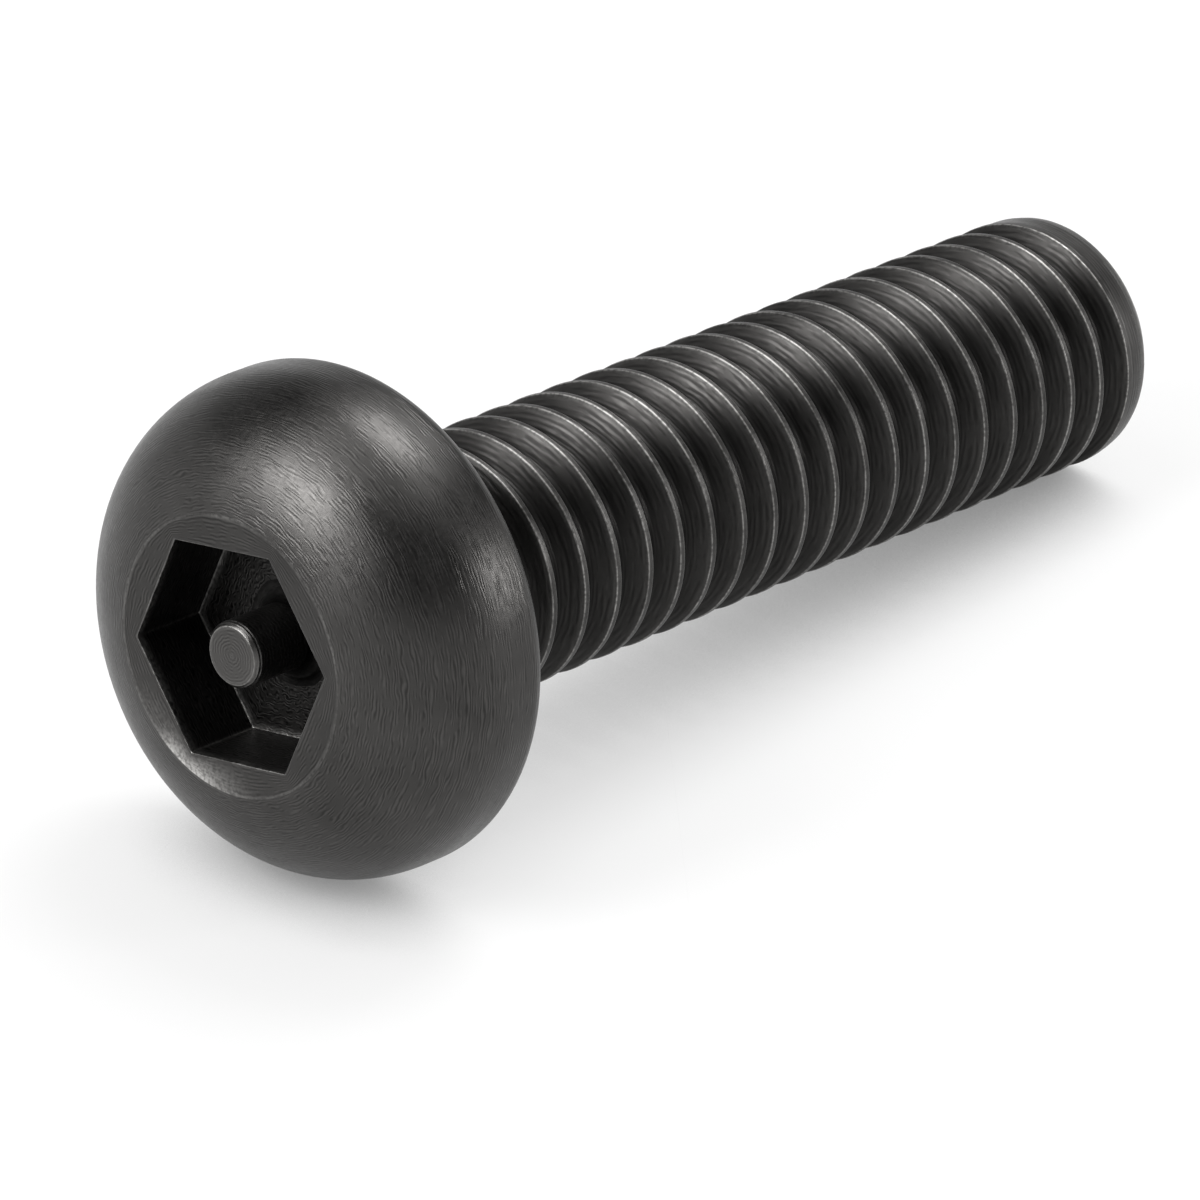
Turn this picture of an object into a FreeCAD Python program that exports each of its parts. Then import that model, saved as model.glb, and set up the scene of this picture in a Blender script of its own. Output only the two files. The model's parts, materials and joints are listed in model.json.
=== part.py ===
import FreeCAD, Part
import math
import os
from FreeCAD import Placement, Rotation, Vector

# A metric button head screw with a pin-in-hex security socket, in millimetres and degrees.
# It is modelled upright, the head above and the bearing face at z = 0, and is laid down at the end.

# Thread and shank
thread_diameter = 4.0
pitch = 0.7
shank_length = 16.0
neck_length = 0.6
neck_fillet = 0.2
runout_length = 0.5
tip_chamfer_radial = 0.2
tip_chamfer_axial = 0.25
thread_turn = 150.0

# Head
head_diameter = 7.6
head_height = 2.6
face_diameter = 4.24
face_edge_slope = 14.0
dome_fullness = 0.9
rim_land_height = 0.35
rim_chamfer = 0.3

# Socket and its centre pin
hex_across_flats = 3.2
socket_depth = 1.28
socket_turn = 40.5
pin_diameter = 1.0
pin_recess = 0.05
pin_chamfer = 0.06
pin_foot_flare = 0.15

# Space by which a cutting body reaches past what it cuts
past = 0.5

# Thread section: a 60 degree V with a sharp root and flat crests an eighth of the pitch wide
flank_slope = math.tan(math.radians(30))
crest_width = pitch / 8
thread_radius = thread_diameter / 2
thread_depth = (pitch - crest_width) / 2 / flank_slope
root_radius = thread_radius - thread_depth
groove_clearance = 0.8 * crest_width / 2 / flank_slope
turns_per_stretch = 5
head_radius = head_diameter / 2


def point(radius, height):
    """A point of a section, drawn in the XZ plane."""
    return Vector(radius, 0, height)


def line(start, end):
    return Part.LineSegment(start, end).toShape()


def dome_curve(start, end):
    """A conic that leaves the rim straight up and meets the flat ring at the ring's edge slope."""
    drop = (start.x - end.x) * math.tan(math.radians(face_edge_slope))
    corner = point(start.x, end.z - drop)
    curve = Part.BezierCurve()
    curve.setPoles([start, corner, end])
    curve.setWeight(2, dome_fullness)
    return curve.toShape()


def spun(edges):
    """The solid of revolution of a closed section about the Z axis."""
    return Part.Face(Part.Wire(edges)).revolve(Vector(0, 0, 0), Vector(0, 0, 1), 360)


def blank():
    """The head and the plain shank as one turned piece."""
    tip = -shank_length
    tip_edge = point(thread_radius - tip_chamfer_radial, tip)
    tip_shoulder = point(thread_radius, tip + tip_chamfer_axial)
    neck_bottom = point(thread_radius, -neck_fillet)
    neck_centre = point(thread_radius + neck_fillet, -neck_fillet)
    neck_top = point(thread_radius + neck_fillet, 0)
    rim_bottom = point(head_radius - rim_chamfer, 0)
    land_bottom = point(head_radius, rim_chamfer)
    land_top = point(head_radius, rim_chamfer + rim_land_height)
    face_edge = point(face_diameter / 2, head_height)
    neck_arc_middle = neck_centre + Vector(-neck_fillet, 0, neck_fillet) * math.sqrt(0.5)
    return spun([
        line(point(0, tip), tip_edge),
        line(tip_edge, tip_shoulder),
        line(tip_shoulder, neck_bottom),
        Part.Arc(neck_bottom, neck_arc_middle, neck_top).toShape(),
        line(neck_top, rim_bottom),
        line(rim_bottom, land_bottom),
        line(land_bottom, land_top),
        dome_curve(land_top, face_edge),
        line(face_edge, point(0, head_height)),
        line(point(0, head_height), point(0, tip)),
    ])


def neck_guard():
    """What the thread groove leaves whole: the neck, and the cone on which the groove runs out."""
    slope = runout_length / thread_depth
    cone_bottom = point(root_radius, -neck_length - runout_length)
    cone_top = point(thread_radius + past, -neck_length + past * slope)
    top = head_height
    return spun([
        line(point(0, cone_bottom.z), cone_bottom),
        line(cone_bottom, cone_top),
        line(cone_top, point(cone_top.x, top)),
        line(point(cone_top.x, top), point(0, top)),
        line(point(0, top), point(0, cone_bottom.z)),
    ])


def groove_stretch(start, height, turn):
    """One stretch of the right-hand helical groove, from the height start up.

    It reaches out past the crests by less than would let one turn of it meet the next.
    """
    helix = Part.makeHelix(pitch, height, thread_radius)
    helix.translate(Vector(0, 0, start))
    outer_radius = thread_radius + groove_clearance
    half_width = (outer_radius - root_radius) * flank_slope
    corners = [
        point(root_radius, start),
        point(outer_radius, start + half_width),
        point(outer_radius, start - half_width),
    ]
    sweep = Part.BRepOffsetAPI.MakePipeShell(Part.Wire(helix.Edges))
    sweep.setFrenetMode(True)
    sweep.add(Part.makePolygon(corners + corners[:1]))
    sweep.build()
    sweep.makeSolid()
    groove = sweep.shape()
    groove.rotate(Vector(0, 0, 0), Vector(0, 0, 1), turn)
    return groove


def thread_groove():
    """The whole groove, from a pitch past the tip up to its runout, in stretches of a few turns."""
    length = shank_length + pitch
    stretches = math.ceil(length / pitch / turns_per_stretch)
    height = length / stretches
    guard = neck_guard()
    grooves = []
    for number in range(stretches):
        start = number * height - length
        turn = thread_turn + 360 * number * height / pitch
        grooves.append(groove_stretch(start, height, turn).cut(guard))
    return grooves


def socket_pin():
    """The pin that stands in the socket, with a chamfered end and a flared foot."""
    radius = pin_diameter / 2
    floor = head_height - socket_depth
    end = head_height - pin_recess
    below = floor - past
    foot_radius = radius + pin_foot_flare
    foot = point(foot_radius, floor)
    foot_top = point(radius, floor + pin_foot_flare)
    shoulder = point(radius, end - pin_chamfer)
    edge = point(radius - pin_chamfer, end)
    return spun([
        line(point(0, below), point(foot_radius, below)),
        line(point(foot_radius, below), foot),
        line(foot, foot_top),
        line(foot_top, shoulder),
        line(shoulder, edge),
        line(edge, point(0, end)),
        line(point(0, end), point(0, below)),
    ])


def socket():
    """The six-sided recess, with the pin left standing in it."""
    corner_radius = hex_across_flats / 2 / math.cos(math.radians(30))
    floor = head_height - socket_depth
    corners = []
    for side in range(6):
        angle = math.radians(socket_turn + 60 * side)
        corners.append(Vector(corner_radius * math.cos(angle), corner_radius * math.sin(angle), floor))
    outline = Part.makePolygon(corners + corners[:1])
    prism = Part.Face(outline).extrude(Vector(0, 0, socket_depth + past))
    return prism.cut(socket_pin())


def resting_tilt():
    """How far the screw leans when its rim and the last crest on its underside touch the ground."""
    crest_from_tip = pitch * ((180 - thread_turn) / 360 + 0.5) % pitch - crest_width / 2
    reach = shank_length - max(crest_from_tip, tip_chamfer_axial) + rim_chamfer
    return math.degrees(math.atan2(head_radius - thread_radius, reach))


def laid_down(shape):
    """Lays the upright screw along X, head towards -X, and centres it over the origin on the ground."""
    shape.Placement = Placement(Vector(0, 0, 0), Rotation(Vector(0, 1, 0), resting_tilt() - 90))
    box = shape.optimalBoundingBox(False)
    shape.translate(Vector(-(box.XMin + box.XMax) / 2, -(box.YMin + box.YMax) / 2, -box.ZMin))
    return shape


def screw():
    shape = blank()
    for groove in thread_groove():
        shape = shape.cut(groove)
    return laid_down(shape.cut(socket()))


os.makedirs("parts", exist_ok=True)
body = screw()
body.exportStep("parts/screw.step")
box = body.optimalBoundingBox(False)
print("screw: valid", body.isValid(), "solids", len(body.Solids), "faces", len(body.Faces))
print("volume", round(body.Volume, 3), "tilt", round(resting_tilt(), 3))
print("box", [round(size, 3) for size in (box.XLength, box.YLength, box.ZLength)])
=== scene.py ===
import json
import math

import bpy
import numpy as np
from mathutils import Matrix, Vector, noise

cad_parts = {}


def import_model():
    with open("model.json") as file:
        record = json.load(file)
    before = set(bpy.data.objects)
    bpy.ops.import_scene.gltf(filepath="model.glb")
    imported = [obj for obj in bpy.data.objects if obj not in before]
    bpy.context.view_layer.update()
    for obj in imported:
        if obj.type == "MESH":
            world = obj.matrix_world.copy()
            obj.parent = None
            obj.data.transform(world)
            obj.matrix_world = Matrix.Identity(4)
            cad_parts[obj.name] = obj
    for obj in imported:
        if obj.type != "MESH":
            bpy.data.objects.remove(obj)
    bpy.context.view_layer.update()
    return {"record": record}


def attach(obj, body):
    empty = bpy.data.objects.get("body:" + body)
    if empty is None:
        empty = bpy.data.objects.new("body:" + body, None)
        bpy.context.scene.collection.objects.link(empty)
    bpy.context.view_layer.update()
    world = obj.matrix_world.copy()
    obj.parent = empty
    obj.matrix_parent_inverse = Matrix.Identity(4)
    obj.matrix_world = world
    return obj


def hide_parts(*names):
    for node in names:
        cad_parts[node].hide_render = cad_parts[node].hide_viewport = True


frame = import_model()

# All sizes are in millimetres and degrees, in an upright frame of the screw's own:
# the head above, the bearing face at z = 0 and the thread below.
MM = 0.001

# Thread and shank
thread_diameter = 4.0
pitch = 0.7
crest_width = pitch / 8
root_rounding = 0.17
crest_rounding = 0.008
shank_length = 16.0
neck_length = 0.6
neck_fillet = 0.2
runout_length = 0.5
thread_turn = 150.0

# The share of the sharp groove's depth that the rolled thread reaches
groove_share = 0.8

# The share of a crest's rounding that is given back, so that its flat keeps its height
crest_regain = 0.6

# How far the thread's rows go past the neck's lower end
thread_overlap = 0.05

# Rows of the thread this near to its end rings become part of them
merge_reach = 0.002

# Tip
tip_chamfer_radial = 0.2
tip_chamfer_axial = 0.25
tip_corner_rounding = 0.05
tip_shoulder_rounding = 0.012

# The slight taper that leads to the tip's chamfer
tip_taper_radial = 0.1
tip_taper_axial = 0.42

# The last part of the groove at the tip, which the rolling left shallow
tip_groove_fades_from = 15.22
tip_groove_fades_over = 0.2
tip_groove_left = 0.06

# Where the chamfer's rows begin above the end face, and end above the chamfer
chamfer_rows_from = 0.035
chamfer_rows_past = 0.04

# Head
head_diameter = 7.6
head_height = 2.6
face_diameter = 4.24
face_edge_slope = 14.0
face_edge_inset = 0.012
face_edge_drop = 0.003
dome_fullness = 0.9
rim_top = 0.65
rim_rounding = 0.35

# Socket
hex_across_flats = 3.2
socket_depth = 1.28
socket_turn = 40.5
socket_lip = 0.022
socket_fillet = 0.022

# Pin in the socket
pin_diameter = 1.0
pin_recess = 0.05
pin_chamfer = 0.06
pin_foot_flare = 0.15
pin_foot_extra = 0.03
pin_edge_rounding = 0.008
pin_edge_width = 0.02

# A fine groove round the pin below its chamfer: how far in from its side, and how far below
pin_groove_from = 0.05
pin_groove = ((0, 0.035), (0.012, 0.028), (0.012, 0.012), (0.004, 0))

# The radius of the smallest ring before a face closes on the axis
tip_axis_gap = 0.1
pin_axis_gap = 0.03

# The dressed surface keeps just inside the plain solid, whose facets are coarser
skin_share = 0.9985
skin_lift = 0.0006

# Unevenness of the shank: broad hollows, and small ones where it is worn
broad_hollows_scale = 1.3
broad_hollows_depth = 0.004
worn_hollows_scale = 9
worn_hollows_depth = 0.006
worn_hollows_shift = Vector((5, 3, 1))
smooth_end = 0.01

# Where the flat ring's outer edge is scuffed
scuff_angle = 160.0
scuff_spread = 22.0

# The side of the thread that is drawn lighter: a painted highlight where the lamps reflect on its upper
# side
sheen_angle = -16.0
sheen_spread = 17.0

# Wear of each place, from 0 to 1, and how it spreads; in the socket's inner corners this lighter mark is a
# painted highlight instead. A pair is the wear all round and what the scuff adds.
tip_corner_wear = 0.3
chamfer_wear = (0.4, 0.4, 0.4, 0.4, 0.5, 0.5, 0.25, 0.2, 0.15)
crest_edge_wear = 1.0
crest_tip_side_wear = 0.35
crest_flat_wear = 0.1
crest_edge_spread = 0.009
faded_groove_wear_lost = 0.6
dome_edge_wear = (0.06, 0.5)
ring_edge_wear = (0.12, 0.8)
ring_scuff = 0.75
ring_scuff_falls = 1.2
lip_wear = 0.9
# The socket's inner corners, between its walls and at their foot, are drawn lighter: painted highlight
# lines.
hex_corner_sheen = 0.5
hex_corner_sheen_spread = 0.7
socket_foot_sheen = 0.6
pin_groove_wear = 0.5
pin_chamfer_wear = 0.15
pin_edge_wear = 0.8
pin_edge_inside_wear = 0.1

# Mesh density
columns = 180
column_crowding = 0.6
dome_steps = 46
face_steps = 8
small_arc = (30, 60, 90)

flank_angle = math.radians(30)
flank_slope = math.tan(flank_angle)
thread_radius = thread_diameter / 2
root_radius = thread_radius - (pitch - crest_width) / 2 / flank_slope
head_radius = head_diameter / 2
face_radius = face_diameter / 2
pin_radius = pin_diameter / 2
floor_height = head_height - socket_depth
pin_height = head_height - pin_recess
half_groove = (pitch - crest_width) / 2

# Rows of the thread, as offsets from the middle of its groove up to the middle of the crest
crest_edge_row = 0.014
crest_corner_row = 0.001
row_offsets = [
    0, 0.05, 0.1, 0.15, 0.205, 0.26,
    half_groove - crest_edge_row,
    half_groove + crest_corner_row,
    half_groove + crest_edge_row,
    pitch / 2,
]

# Materials, in the order of their slots
TIP, THREAD, UNDERSIDE, DOME, RING, LIP, SOCKET, PIN_FOOT_SHADE, PIN_SIDE, PIN_END = range(10)


def smoothstep(value):
    value = np.clip(value, 0, 1)
    return value * value * (3 - 2 * value)


def column_angles():
    """The angle of each column of points in degrees, crowded towards the socket's six corners."""
    per_side = columns // 6
    step = np.arange(columns) / per_side
    share = step - np.floor(step)
    share = share - column_crowding * np.sin(2 * math.pi * share) / (2 * math.pi)
    return socket_turn + 60 * (np.floor(step) + share)


angles = column_angles()
turn = np.radians(angles)
from_side_middle = np.radians((angles - socket_turn) % 60 - 30)
hex_radius = hex_across_flats / 2 / np.cos(from_side_middle)
from_scuff = (angles - scuff_angle + 180) % 360 - 180
scuff = np.exp(-(from_scuff / scuff_spread) ** 2)
from_hex_corner = 30 - np.degrees(np.abs(from_side_middle))
# Painted highlight lines along the socket's inner corners
hex_corner_highlight = hex_corner_sheen * np.exp(-((from_hex_corner / hex_corner_sheen_spread) ** 2))


class Skin:
    """The screw's surface as rings of points, one point to a column, with what the materials read."""

    def __init__(self):
        self.radius = []
        self.height = []
        self.across = []
        self.wear = []
        self.faces = []
        self.kinds = []
        self.count = 0

    def add(self, radius, height, across, wear):
        """One ring of points. Returns the numbers of its points."""
        full = np.ones(columns)
        self.radius.append(full * radius)
        self.height.append(full * height)
        self.across.append(full * across)
        self.wear.append(full * wear)
        first = self.count
        self.count += columns
        return np.arange(first, first + columns)

    def face(self, points, kind):
        self.faces.append(tuple(points))
        self.kinds.append(kind)

    def begin(self, ring, radius, height):
        """Lets the next rings go on from this one, and counts the way across from here."""
        self.ring = ring
        self.place = (radius, height)
        self.along = 0.0

    def rings(self, points, kind, wear=0.0):
        """Rings through the points of a section, each joined to the one before."""
        for radius, height in points:
            mean = float(np.mean(radius))
            self.along += math.hypot(mean - self.place[0], height - self.place[1])
            following = self.add(radius, height, self.along, wear)
            for i in range(columns):
                j = (i + 1) % columns
                self.face((self.ring[i], self.ring[j], following[j], following[i]), kind)
            self.ring = following
            self.place = (mean, height)

    def close(self, height, across, kind, upward):
        """A fan of faces from the last ring to a point on the axis."""
        self.radius.append(np.zeros(1))
        self.height.append(np.full(1, height))
        self.across.append(np.full(1, across))
        self.wear.append(np.zeros(1))
        centre = self.count
        self.count += 1
        for i in range(columns):
            near, far = self.ring[i], self.ring[(i + 1) % columns]
            self.face((near, far, centre) if upward else (far, near, centre), kind)


def arc(centre, radius, start, end, steps):
    """Points of a section's arc with its start, angles in degrees from the outward direction."""
    for share in np.linspace(0, 1, steps + 1):
        angle = math.radians(start + (end - start) * share)
        yield centre[0] + radius * math.cos(angle), centre[1] + radius * math.sin(angle)


def between(start, end, steps):
    """Points of a section's straight line, without its start."""
    for share in np.linspace(0, 1, steps + 1)[1:]:
        yield start[0] + (end[0] - start[0]) * share, start[1] + (end[1] - start[1]) * share


def positive_part(depth, rounding):
    """The depth where it is above zero and nothing below, with a soft bend between."""
    return (depth + np.sqrt(depth ** 2 + 4 * rounding ** 2)) / 2


def groove_radius(offset):
    """The thread's radius at an offset from the middle of its groove, at the groove's full depth."""
    offset = abs(offset)
    centre = root_radius + root_rounding / math.sin(flank_angle)
    if offset < root_rounding * math.cos(flank_angle):
        radius = centre - math.sqrt(root_rounding ** 2 - offset ** 2)
    else:
        radius = root_radius + offset / flank_slope
    depth = positive_part(thread_radius - radius, crest_rounding)
    return thread_radius - depth + crest_rounding * crest_regain


def chamfer_radius(height):
    """How far out the tip's chamfer, and the taper before it, let the shank reach."""
    from_end = height + shank_length
    chamfer_depth = tip_chamfer_radial * (1 - from_end / tip_chamfer_axial)
    taper_depth = tip_taper_radial * (1 - from_end / tip_taper_axial)
    depth = np.maximum(chamfer_depth, taper_depth)
    return thread_radius - positive_part(depth, tip_shoulder_rounding)


def guard_radius(height):
    """The cone on which the groove runs out below the neck."""
    share = (height + neck_length + runout_length) / runout_length
    return root_radius + (thread_radius - root_radius) * share


def crest_wear(offset):
    """Most on the crest's edge towards the head, less on its other edge and its flat."""
    from_edge = abs(abs(offset) - half_groove)
    edge_wear = crest_edge_wear if offset < 0 else crest_tip_side_wear
    edge = math.exp(-(from_edge / crest_edge_spread) ** 2) * edge_wear
    flat = crest_flat_wear if abs(offset) > half_groove else 0
    return max(edge, flat)


def tip_part(skin):
    """The tip's end face, from near the axis outwards, and its chamfer."""
    tip = -shank_length
    corner_radius = thread_radius - tip_chamfer_radial - tip_corner_rounding
    ring = skin.add(tip_axis_gap, tip, tip_axis_gap, 0)
    skin.begin(ring, tip_axis_gap, tip)
    skin.close(tip, 0, TIP, False)
    skin.rings(between(skin.place, (corner_radius, tip), 6), TIP)
    corner = (corner_radius, tip + tip_corner_rounding)
    skin.rings(arc(corner, tip_corner_rounding, -90, -35, 4), TIP, tip_corner_wear)
    top = tip + tip_chamfer_axial + chamfer_rows_past
    heights = np.linspace(tip + chamfer_rows_from, top, len(chamfer_wear))
    for height, wear in zip(heights, chamfer_wear):
        skin.rings([(chamfer_radius(height), height)], TIP, wear)


def thread_rows(skin, low, low_height, high, high_height):
    """The rows of the thread, which climb along the helix, and the kind of each of their faces."""
    offsets = [-offset for offset in row_offsets[-2:0:-1]] + row_offsets
    length = shank_length + pitch
    first_groove = -length + pitch * (angles - thread_turn) / 360
    start = math.floor((low_height - first_groove.max()) / pitch) - 1
    turns = math.ceil((high_height - first_groove.min()) / pitch) + 2 - start
    rows = []
    kinds = []
    for number in range(turns):
        middle = first_groove + (start + number) * pitch
        fade = smoothstep((-middle - tip_groove_fades_from) / tip_groove_fades_over)
        depth_share = groove_share * (1 - (1 - tip_groove_left) * fade)
        for offset in offsets:
            height = middle + offset
            groove = thread_radius - (thread_radius - groove_radius(offset)) * depth_share
            guarded = np.maximum(groove, guard_radius(height))
            radius = np.where(height < high_height, guarded, thread_radius)
            radius = np.minimum(radius, chamfer_radius(height))
            wear = crest_wear(offset) * (1 - faded_groove_wear_lost * fade)
            row = skin.add(radius, np.clip(height, low_height, high_height), abs(offset), wear)
            row = np.where(height <= low_height + merge_reach, low, row)
            row = np.where(height >= high_height - merge_reach, high, row)
            rows.append(row)
            kinds.append(np.where(fade > 0.5, TIP, THREAD))
    return rows, kinds, len(offsets)


def thread_part(skin):
    """The threaded shank, from the chamfer's last ring to the plain neck."""
    low = skin.ring
    low_height = skin.place[1]
    high_height = -neck_length + thread_overlap
    high = skin.add(thread_radius, high_height, 0, 0)
    rows, kinds, per_turn = thread_rows(skin, low, low_height, high, high_height)
    for row in range(len(rows) - 1):
        for i in range(columns):
            # Past the last column, each row goes on as the row one turn higher
            climb = per_turn if i == columns - 1 else 0
            if row + 1 + climb >= len(rows):
                continue
            j = (i + 1) % columns
            corners = (rows[row][i], rows[row + climb][j], rows[row + 1 + climb][j], rows[row + 1][i])
            corners = list(dict.fromkeys(corners))
            if len(corners) > 2:
                skin.face(corners, int(kinds[row][i]))
    skin.begin(high, thread_radius, high_height)


def head_part(skin):
    """The neck, the head's underside, its rim with the land above, and its dome."""
    neck_centre = (thread_radius + neck_fillet, -neck_fillet)
    rim_centre = (head_radius - rim_rounding, rim_rounding)
    skin.rings(between(skin.place, (thread_radius, -neck_fillet), 3), UNDERSIDE)
    skin.rings(arc(neck_centre, neck_fillet, 180, 90, 5), UNDERSIDE)
    skin.rings(between(skin.place, (rim_centre[0], 0), 6), UNDERSIDE)
    skin.rings(arc(rim_centre, rim_rounding, -90, 0, 9), DOME)
    skin.rings(between(skin.place, (head_radius, rim_top), 2), DOME)
    skin.rings(dome_points(), DOME)


def dome_points():
    """The dome's conic, from straight up at the land to the slope at the flat ring's edge."""
    start = (head_radius, rim_top)
    end = (face_radius, head_height)
    drop = (head_radius - face_radius) * math.tan(math.radians(face_edge_slope))
    corner = (head_radius, head_height - drop)
    for share in np.linspace(0, 1, dome_steps + 1)[1:-1]:
        weights = ((1 - share) ** 2, 2 * dome_fullness * share * (1 - share), share ** 2)
        total = sum(weights)
        yield tuple(
            sum(weight * point[axis] for weight, point in zip(weights, (start, corner, end))) / total
            for axis in (0, 1)
        )


def face_part(skin):
    """The flat ring round the socket, its inner edge six-sided."""
    outer = face_radius - face_edge_inset
    inner = hex_radius + socket_lip
    edge_wear = dome_edge_wear[0] + dome_edge_wear[1] * scuff
    skin.rings([(face_radius, head_height - face_edge_drop)], DOME, edge_wear)
    skin.rings([(outer, head_height)], RING, ring_edge_wear[0] + ring_edge_wear[1] * scuff)
    for share in np.linspace(0, 1, face_steps + 1)[1:]:
        wear = ring_scuff * scuff * (1 - share) ** ring_scuff_falls
        skin.rings([(outer + (inner - outer) * share, head_height)], RING, wear)


def socket_part(skin):
    """The socket's lip, walls and floor."""
    for angle in small_arc:
        reach = socket_lip * math.sin(math.radians(angle))
        drop = socket_lip * (1 - math.cos(math.radians(angle)))
        skin.rings([(hex_radius + socket_lip - reach, head_height - drop)], LIP, lip_wear)
    wall_top = head_height - socket_lip
    wall_bottom = floor_height + socket_fillet
    for share in np.linspace(0, 1, face_steps + 1)[1:]:
        skin.rings([(hex_radius, wall_top + (wall_bottom - wall_top) * share)], SOCKET, hex_corner_highlight)
    # The fillet at the walls' foot is drawn lighter, a painted highlight line.
    for angle in small_arc:
        reach = socket_fillet * (1 - math.cos(math.radians(angle)))
        drop = socket_fillet * math.sin(math.radians(angle))
        skin.rings([(hex_radius - reach, wall_bottom - drop)], SOCKET, socket_foot_sheen)
    edge = hex_radius - socket_fillet
    foot = pin_radius + pin_foot_flare + pin_foot_extra
    for share in np.linspace(0, 1, face_steps + 1)[1:]:
        # The floor's last ring round the pin takes the near-black pin foot steel: painted shade round the
        # pin's foot.
        kind = PIN_FOOT_SHADE if share == 1 else SOCKET
        skin.rings([(edge + (foot - edge) * share, floor_height)], kind)


def pin_part(skin):
    """The pin, from its flared foot to its end."""
    foot_rounding = pin_foot_flare + pin_foot_extra
    foot_centre = (
        pin_radius + pin_foot_flare + pin_foot_extra,
        floor_height + pin_foot_flare + pin_foot_extra,
    )
    shoulder = pin_height - pin_chamfer
    edge = pin_radius - pin_chamfer
    # The pin's flared foot is drawn near black, painted shade in the corner round it.
    skin.rings(arc(foot_centre, foot_rounding, 270, 180, 7), PIN_FOOT_SHADE)
    skin.rings(between(skin.place, (pin_radius, shoulder - pin_groove_from), 6), PIN_SIDE)
    groove = [(pin_radius - inward, shoulder - below) for inward, below in pin_groove]
    skin.rings(groove, PIN_SIDE, pin_groove_wear)
    chamfer_end = (edge + pin_edge_rounding, pin_height - pin_edge_rounding)
    skin.rings(between(skin.place, chamfer_end, 3), PIN_END, pin_chamfer_wear)
    skin.rings([(edge, pin_height)], PIN_END, pin_edge_wear)
    skin.rings([(edge - pin_edge_width, pin_height)], PIN_END, pin_edge_inside_wear)
    skin.rings(between(skin.place, (pin_axis_gap, pin_height), 8), PIN_END)
    skin.close(pin_height, skin.along, PIN_END, True)


def mount(name):
    return next(m for m in frame["record"]["mounts"] if m["name"] == name)


def lying_matrix():
    """From the upright frame in millimetres to the row frame, by two of the record's mounts."""
    axis = -Vector(mount("bearing_face")["axis"]).normalized()
    side = Vector((0, 1, 0))
    up = side.cross(axis)
    pin_middle = (floor_height + pin_foot_flare + pin_height - pin_chamfer) / 2
    origin = Vector(mount("socket_pin")["pos_m"]) - axis * pin_middle * MM
    turned = Matrix((up, side, axis)).transposed().to_4x4()
    lift = Matrix.Translation((0, 0, skin_lift * MM))
    return lift @ Matrix.Translation(origin) @ turned @ Matrix.Scale(MM, 4)


def unevenness(x, y, z, wear):
    """Small hollows of a rolled surface, in millimetres along the outward direction."""
    change = np.zeros(len(x))
    for i in range(len(x)):
        point = Vector((x[i], y[i], z[i]))
        broad = abs(noise.noise(point * broad_hollows_scale))
        worn = max(0.0, noise.noise(point * worn_hollows_scale + worn_hollows_shift))
        change[i] = -broad_hollows_depth * broad - worn_hollows_depth * wear[i] * worn
    return change


def screw_mesh():
    skin = Skin()
    tip_part(skin)
    thread_part(skin)
    head_part(skin)
    face_part(skin)
    socket_part(skin)
    pin_part(skin)

    # Only the points that a face uses are kept
    used = sorted({point for face in skin.faces for point in face})
    number = {point: place for place, point in enumerate(used)}
    faces = [tuple(number[point] for point in face) for face in skin.faces]
    around = [turn if len(part) == columns else np.zeros(1) for part in skin.radius]
    parts = (skin.radius, skin.height, skin.across, skin.wear, around)
    radius, height, across, wear, around = (np.concatenate(part)[used] for part in parts)

    radius = radius * skin_share
    x = radius * np.cos(around)
    y = radius * np.sin(around)
    shank = (height < -neck_length) & (height > -shank_length + smooth_end)
    change = np.where(shank, unevenness(x, y, height, wear), 0)
    x = x + change * np.cos(around)
    y = y + change * np.sin(around)

    mesh = bpy.data.meshes.new("screw_skin")
    mesh.from_pydata(np.stack([x, y, height], 1).tolist(), [], faces)
    mesh.transform(lying_matrix())
    mesh.polygons.foreach_set("material_index", np.array(skin.kinds, dtype=np.int32))
    mesh.polygons.foreach_set("use_smooth", np.ones(len(faces), dtype=bool))
    off_axis = (radius > 0).astype(float)
    spin = np.stack([np.cos(around) * off_axis, np.sin(around) * off_axis, np.zeros(len(x))], 1)
    for name, kind, field, values in (
        ("across", "FLOAT", "value", across),
        ("wear", "FLOAT", "value", wear),
        ("height", "FLOAT", "value", height),
        ("spin", "FLOAT_VECTOR", "vector", spin.ravel()),
    ):
        layer = mesh.attributes.new(name, kind, "POINT")
        layer.data.foreach_set(field, np.asarray(values, dtype=np.float32))
    mesh.validate()
    mesh.update()
    return mesh


# The steel's surface. Bands are the range of a noise or a measure over which something changes.
NOISE_BAND = (0.3, 0.7)

# Noise drawn out round the axis: how fast it drifts along the screw, and the scale of its broad kind
streak_drift = 2.2
broad_scale = (0.4, 0.2)

# Ripples: where they break off, and the scale of the noise that breaks them
ripple_break_scale = 1.6
ripple_break_band = (0.4, 0.56)

# Blotches, in features per millimetre, and how rough their noise is
patch_scale = 0.9
grain_scale = 16.0
blotch_roughness = 0.6

# Painted highlight on the thread's upper side, in streaky patches
sheen_patch_band = (0.44, 0.56)
sheen_patch_strength = (0.3, 1.0)
sheen_line_band = (0.35, 0.9)

# Painted shade in the thread's root, by the distance from the middle of its groove
root_shade_band = (0.02, 0.28)

# Worn edges: broken up by the broad noise and the grain, and drawn brighter towards the thread's upper
# side, a painted highlight
wear_broad_band = (0.32, 0.6)
wear_broad_strength = (0.35, 1.0)
edge_sheen_band = (0.5, 0.95)
edge_sheen_strength = (0.7, 1.25)
wear_grain_band = (0.35, 0.6)
wear_grain_strength = (0.5, 1.2)

# How much warmer than grey the oxide and the worn steel are, as red and blue shares
oxide_tint = (1.03, 0.97)
worn_tint = (1.02, 0.97)

# How much the roughness varies, and the grain's share of the relief
roughness_by_broad = 0.04
roughness_by_grain = 0.03
grain_relief = 0.3


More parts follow.
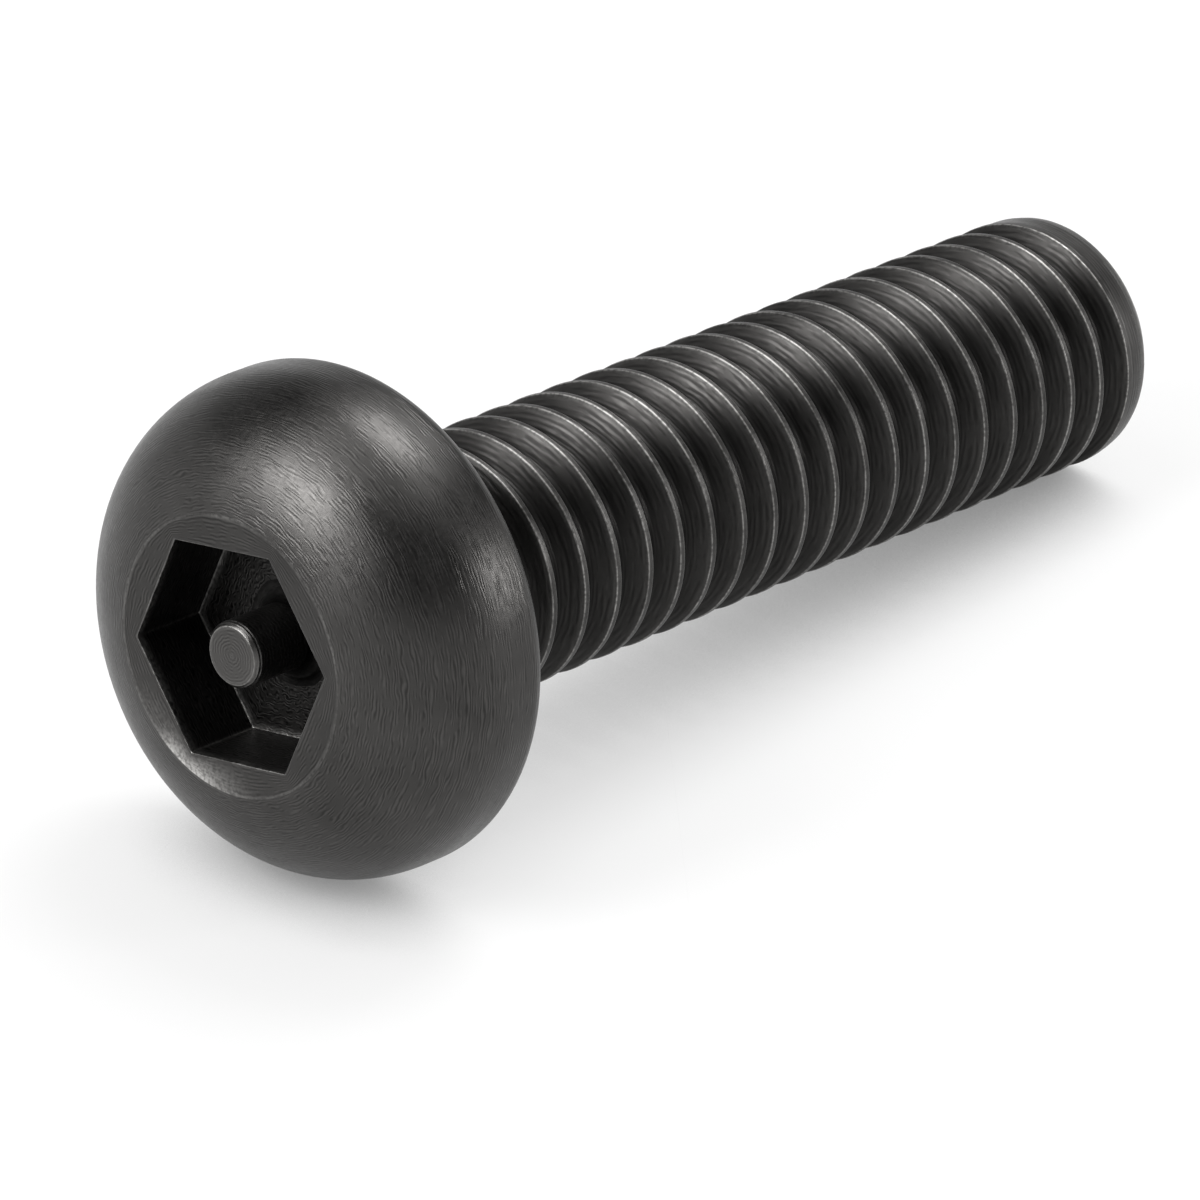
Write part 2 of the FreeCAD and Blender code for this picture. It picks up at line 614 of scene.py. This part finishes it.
class Nodes:
    """Short ways to add shader nodes and link them."""

    def __init__(self, tree):
        self.tree = tree
        tree.nodes.clear()

    def put(self, value, socket):
        """Links a value to a socket, or sets it there."""
        if isinstance(value, bpy.types.NodeSocket):
            self.tree.links.new(value, socket)
        else:
            socket.default_value = value

    def add(self, kind, inputs=(), **settings):
        node = self.tree.nodes.new(kind)
        for name, value in settings.items():
            setattr(node, name, value)
        for name, value in dict(inputs).items():
            self.put(value, node.inputs[name])
        return node

    def math(self, operation, first, second=0.0, clamp=False):
        inputs = {0: first, 1: second}
        return self.add("ShaderNodeMath", inputs, operation=operation, use_clamp=clamp).outputs[0]

    def ramp(self, value, band, result=(0.0, 1.0)):
        """From the first result to the second, as the value crosses the band."""
        node = self.add("ShaderNodeMapRange", {
            "Value": value,
            "From Min": band[0],
            "From Max": band[1],
            "To Min": result[0],
            "To Max": result[1],
        })
        return node.outputs["Result"]

    def ease(self, value, band, result=(0.0, 1.0)):
        """As ramp, but with soft ends."""
        output = self.ramp(value, band, result)
        output.node.interpolation_type = "SMOOTHSTEP"
        return output

    def mix(self, share, first, second, blend_type="MIX"):
        """A mix of two colours. The node has its share in socket 0 and its colours in sockets 6 and 7."""
        inputs = {0: share, 6: first, 7: second}
        return self.add("ShaderNodeMix", inputs, data_type="RGBA", blend_type=blend_type).outputs[2]

    def attribute(self, name, output="Fac"):
        return self.add("ShaderNodeAttribute", attribute_name=name).outputs[output]

    def streaks(self, around, across, detail=2.0):
        """Noise drawn out round the screw's axis: features a radian round and a millimetre across."""
        spin = self.add("ShaderNodeVectorMath", {0: self.attribute("spin", "Vector")}, operation="SCALE")
        spin.inputs["Scale"].default_value = around
        lift = self.math("MULTIPLY", self.attribute("across"), across)
        lift = self.add("ShaderNodeCombineXYZ", {"Z": lift})
        place = {0: spin.outputs[0], 1: lift.outputs[0]}
        place = self.add("ShaderNodeVectorMath", place, operation="ADD")
        texture = self.add("ShaderNodeTexNoise", {
            "Vector": place.outputs[0],
            "W": self.math("MULTIPLY", self.attribute("height"), streak_drift),
            "Scale": 1.0,
            "Detail": detail,
            "Roughness": 0.5,
        }, noise_dimensions="4D")
        return texture.outputs["Fac"]

    def ripples(self, count, around, across, sway):
        """Fine lines round the screw's axis, count of them to a millimetre, that wind and break off."""
        drift = self.math("MULTIPLY", self.streaks(around, across, 1.0), sway)
        phase = self.math("ADD", self.math("MULTIPLY", self.attribute("across"), count), drift)
        wave = self.math("SINE", self.math("MULTIPLY", phase, 2 * math.pi))
        breaks = self.streaks(around * ripple_break_scale, across * ripple_break_scale, 1.0)
        wave = self.math("MULTIPLY", wave, self.ramp(breaks, ripple_break_band))
        return self.math("ADD", self.math("MULTIPLY", wave, 0.5), 0.5)

    def blotches(self, scale, detail=3.0):
        """Noise that is alike in all directions, with its scale in features per millimetre."""
        place = self.add("ShaderNodeTexCoord").outputs["Object"]
        texture = self.add("ShaderNodeTexNoise", {
            "Vector": place,
            "Scale": scale / MM,
            "Detail": detail,
            "Roughness": blotch_roughness,
        })
        return texture.outputs["Fac"]


def tinted(tone, tint):
    return (tone * tint[0], tone, tone * tint[1], 1)


def steel(name, tone, streak, relief, marks, roughness=0.36, patch=0.12, worn_tone=0.3,
          lines=None, rubbed=0.0, root=1.0):
    """Black-oxide steel with fine marks round the axis, uneven oxide and edges worn lighter.

    tone is the oxide's grey and worn_tone that of worn edges. streak is the fineness of the marks
    round and across, relief their height in millimetres, and marks how much they change the tone.
    patch is how much broad patches change it. lines, where given, makes the marks fine ripples: how
    many to a millimetre and how far they sway. rubbed is how much lighter the thread's upper side is
    drawn, a painted highlight where the lamps reflect, and root the share of the tone that is left at
    the thread's root, painted shade in the groove.
    """
    material = bpy.data.materials.new(name)
    material.use_nodes = True
    nodes = Nodes(material.node_tree)
    broad = nodes.streaks(streak[0] * broad_scale[0], streak[1] * broad_scale[1])
    grain = nodes.blotches(grain_scale, 1.0)
    if lines:
        fine = nodes.ripples(lines[0], streak[0], streak[1], lines[1])
    else:
        fine = nodes.ramp(nodes.streaks(streak[0], streak[1], 1.0), NOISE_BAND)

    # The oxide's level, as a share of its tone
    patches = nodes.ramp(nodes.blotches(patch_scale), NOISE_BAND, (1 - patch, 1 + patch))
    level = nodes.math("ADD", patches, nodes.ramp(fine, (0.0, 1.0), (-marks, marks)))
    # Painted highlight: the thread's upper side, where the lamps reflect, is drawn lighter in streaky
    # patches.
    if rubbed:
        side = (math.cos(math.radians(sheen_angle)), math.sin(math.radians(sheen_angle)), 0)
        towards = {0: nodes.attribute("spin", "Vector"), 1: side}
        towards = nodes.add("ShaderNodeVectorMath", towards, operation="DOT_PRODUCT").outputs["Value"]
        sheen_zone = nodes.ramp(towards, (math.cos(math.radians(sheen_spread)), 1.0))
        sheen = nodes.math("MULTIPLY", sheen_zone, nodes.ramp(broad, sheen_patch_band, sheen_patch_strength))
        sheen = nodes.math("MULTIPLY", sheen, nodes.ramp(fine, sheen_line_band))
        level = nodes.math("ADD", level, nodes.math("MULTIPLY", sheen, rubbed))
    # Painted shade: the thread is drawn darker towards the root of its groove.
    if root < 1:
        root_shade = nodes.ease(nodes.attribute("across"), root_shade_band, (root, 1.0))
        level = nodes.math("MULTIPLY", level, root_shade)
    colour = nodes.mix(1.0, tinted(tone, oxide_tint), level, blend_type="MULTIPLY")

    # Worn edges, and painted highlight lines in the socket's inner corners, which share the wear attribute
    edge = nodes.ramp(broad, wear_broad_band, wear_broad_strength)
    edge = nodes.math("MULTIPLY", nodes.attribute("wear"), edge)
    # Painted highlight: worn edges are drawn brighter towards the thread's upper side.
    if rubbed:
        edge = nodes.math("MULTIPLY", edge, nodes.ramp(towards, edge_sheen_band, edge_sheen_strength))
    edge = nodes.math("MULTIPLY", edge, nodes.ramp(grain, wear_grain_band, wear_grain_strength), True)
    colour = nodes.mix(edge, colour, tinted(worn_tone, worn_tint))

    # Roughness and relief
    rough = (roughness - roughness_by_broad, roughness + roughness_by_broad)
    rough = nodes.ramp(broad, NOISE_BAND, rough)
    by_grain = nodes.ramp(grain, NOISE_BAND, (-roughness_by_grain, roughness_by_grain))
    rough = nodes.math("ADD", rough, by_grain)
    height = nodes.math("ADD", fine, nodes.math("MULTIPLY", grain, grain_relief))
    bump = nodes.add("ShaderNodeBump", {"Height": height, "Distance": relief * MM, "Strength": 1.0})
    shader = nodes.add("ShaderNodeBsdfPrincipled", {
        "Base Color": colour,
        "Roughness": rough,
        "Normal": bump.outputs[0],
        "Metallic": 1.0,
    })
    nodes.add("ShaderNodeOutputMaterial", {"Surface": shader.outputs[0]})
    return material


# What steel() is told for each kind of surface
steels = {
    TIP: dict(
        name="tip_steel", tone=0.059, streak=(4, 12), relief=0.002, marks=0.3, roughness=0.42,
        worn_tone=0.3, lines=(16, 1.0),
    ),
    # The thread's steel is drawn darker in its root, painted shade, and lighter on its upper side, a
    # painted highlight.
    THREAD: dict(
        name="thread_steel", tone=0.031, streak=(4, 12), relief=0.002, marks=0.3, roughness=0.43,
        patch=0.15, worn_tone=0.42, lines=(18, 1.0), rubbed=1.2, root=0.4,
    ),
    UNDERSIDE: dict(name="underside_steel", tone=0.045, streak=(6, 20), relief=0.006, marks=0.25),
    DOME: dict(
        name="dome_steel", tone=0.053, streak=(9, 9), relief=0.0022, marks=0.34, roughness=0.37,
        worn_tone=0.16, lines=(21, 2.6),
    ),
    RING: dict(
        name="ring_steel", tone=0.046, streak=(7, 7), relief=0.0023, marks=0.38,
        worn_tone=0.6, lines=(21, 1.6),
    ),
    LIP: dict(
        name="lip_steel", tone=0.05, streak=(6, 22), relief=0.006, marks=0.25, worn_tone=0.2,
    ),
    SOCKET: dict(
        name="socket_steel", tone=0.033, streak=(9, 9), relief=0.003, marks=0.8, roughness=0.42,
        worn_tone=0.2, lines=(16, 3.2),
    ),
    # Near black and rough: painted shade at the pin's foot and the floor round it.
    PIN_FOOT_SHADE: dict(
        name="pin_foot_steel", tone=0.012, streak=(6, 20), relief=0.003, marks=0.25, roughness=0.6,
    ),
    PIN_SIDE: dict(
        name="pin_side_steel", tone=0.07, streak=(6, 6), relief=0.002, marks=0.45, roughness=0.42,
        worn_tone=0.2, lines=(14, 1.8),
    ),
    PIN_END: dict(
        name="pin_end_steel", tone=0.068, streak=(2, 4), relief=0.0019, marks=0.32,
        worn_tone=0.25, lines=(19, 1.5),
    ),
}


def screw():
    obj = bpy.data.objects.new("screw_body", screw_mesh())
    bpy.context.scene.collection.objects.link(obj)
    for kind in sorted(steels):
        obj.data.materials.append(steel(**steels[kind]))
    obj.modifiers.new("weighted_normals", "WEIGHTED_NORMAL").keep_sharp = True
    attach(obj, "root")
    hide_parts("screw")


# Camera: the photograph's long lens, with the screw seen from the front left and above
view_azimuth = -48.06
view_elevation = 29.45
camera_place = Vector((-89.394, -79.106, 68.486)) * MM

# The point that the lamps face
lamp_target = Vector((0, 0, 3)) * MM

# Painted contact shadow on the floor: the paper's grey and its glow, from close beside the screw to open
# paper
shadow_reach = 2.4
paper_shadow_band = (0.05, 0.7)
paper_shadow_grey = (0.17, 0.21)
glow_shadow_band = (0.05, 0.68)
glow_shadow_strength = (0.2, 0.64)

# The studio's level, from the horizon to above, by the height of the direction
sky_band = (0.08, 0.5)
sky_level = (1.05, 0.07)

WHITE = (1, 1, 1, 1)


def away(azimuth, elevation):
    """The direction from the object to a viewer who looks along that azimuth and down by that elevation."""
    a, e = math.radians(azimuth), math.radians(elevation)
    return Vector((math.sin(a) * math.cos(e), -math.cos(a) * math.cos(e), math.sin(e)))


def camera():
    data = bpy.data.cameras.new("camera")
    data.lens = 274.0
    data.sensor_width = 36.0
    data.clip_start = 0.005
    data.clip_end = 10
    obj = bpy.data.objects.new("camera", data)
    back = away(view_azimuth, view_elevation)
    obj.matrix_world = Matrix.LocRotScale(camera_place, back.to_track_quat("Z", "Y"), None)
    bpy.context.scene.collection.objects.link(obj)
    bpy.context.scene.camera = obj


def lamp(name, azimuth, elevation, distance, size, radiance, mirrored=True):
    """A soft box that faces the screw. Its azimuth and elevation are those of a viewer who stands there."""
    data = bpy.data.lights.new(name, "AREA")
    data.shape = "RECTANGLE"
    data.size, data.size_y = size[0] * MM, size[1] * MM
    data.energy = radiance * math.pi * data.size * data.size_y
    obj = bpy.data.objects.new(name, data)
    obj.visible_glossy = mirrored
    direction = away(azimuth, elevation)
    place = lamp_target + direction * distance * MM
    obj.matrix_world = Matrix.LocRotScale(place, direction.to_track_quat("Z", "Y"), None)
    bpy.context.scene.collection.objects.link(obj)


def floor():
    """White paper that glows a little, with a painted contact shadow: greyer and glowing less close round
    the screw.
    """
    bpy.ops.mesh.primitive_plane_add(size=2.0, location=(0, 0, 0))
    obj = bpy.context.object
    obj.name = "floor"
    material = bpy.data.materials.new("floor_paper")
    material.use_nodes = True
    nodes = Nodes(material.node_tree)
    reach = {"Distance": shadow_reach * MM}
    openness = nodes.add("ShaderNodeAmbientOcclusion", reach, samples=8).outputs["AO"]
    # Painted contact shadow: the paper is drawn greyer where the screw hides it from the open.
    grey = nodes.ease(openness, paper_shadow_band, paper_shadow_grey)
    paper = nodes.mix(1.0, WHITE, grey, blend_type="MULTIPLY")
    diffuse = nodes.add("ShaderNodeBsdfDiffuse", {"Color": paper})
    path = nodes.add("ShaderNodeLightPath")
    seen = nodes.math("ADD", path.outputs["Is Camera Ray"], path.outputs["Is Glossy Ray"], True)
    seen = nodes.math("ADD", seen, path.outputs["Is Transmission Ray"], True)
    # The glow is weaker close round the screw, painted shadow.
    strength = nodes.math("MULTIPLY", seen, nodes.ease(openness, glow_shadow_band, glow_shadow_strength))
    glow = nodes.add("ShaderNodeEmission", {"Color": WHITE, "Strength": strength})
    both = nodes.add("ShaderNodeAddShader", {0: diffuse.outputs[0], 1: glow.outputs[0]})
    nodes.add("ShaderNodeOutputMaterial", {"Surface": both.outputs[0]})
    obj.data.materials.append(material)


def world():
    """A studio that is pale at the horizon and grey above."""
    made = bpy.data.worlds.new("studio")
    bpy.context.scene.world = made
    made.use_nodes = True
    nodes = Nodes(made.node_tree)
    direction = nodes.add("ShaderNodeTexCoord").outputs["Generated"]
    rise = nodes.add("ShaderNodeSeparateXYZ", {"Vector": direction}).outputs["Z"]
    level = nodes.ramp(rise, sky_band, sky_level)
    background = nodes.add("ShaderNodeBackground", {"Color": WHITE, "Strength": level})
    nodes.add("ShaderNodeOutputWorld", {"Surface": background.outputs[0]})


screw()
camera()
floor()
world()
lamp("left_box", azimuth=-110, elevation=36, distance=120, size=(58, 72), radiance=12.0)
lamp("middle_box", azimuth=-124, elevation=69, distance=125, size=(56, 50), radiance=3.6)
lamp("top_box", azimuth=98, elevation=62, distance=130, size=(60, 60), radiance=10.4)
lamp("over_box", azimuth=60, elevation=80, distance=150, size=(150, 150), radiance=0.9)
lamp("right_box", azimuth=37, elevation=18, distance=120, size=(11, 34), radiance=34.0)
lamp("floor_fill", azimuth=100, elevation=50, distance=170, size=(200, 200), radiance=1.6, mirrored=False)
bpy.context.scene.view_settings.view_transform = "Standard"
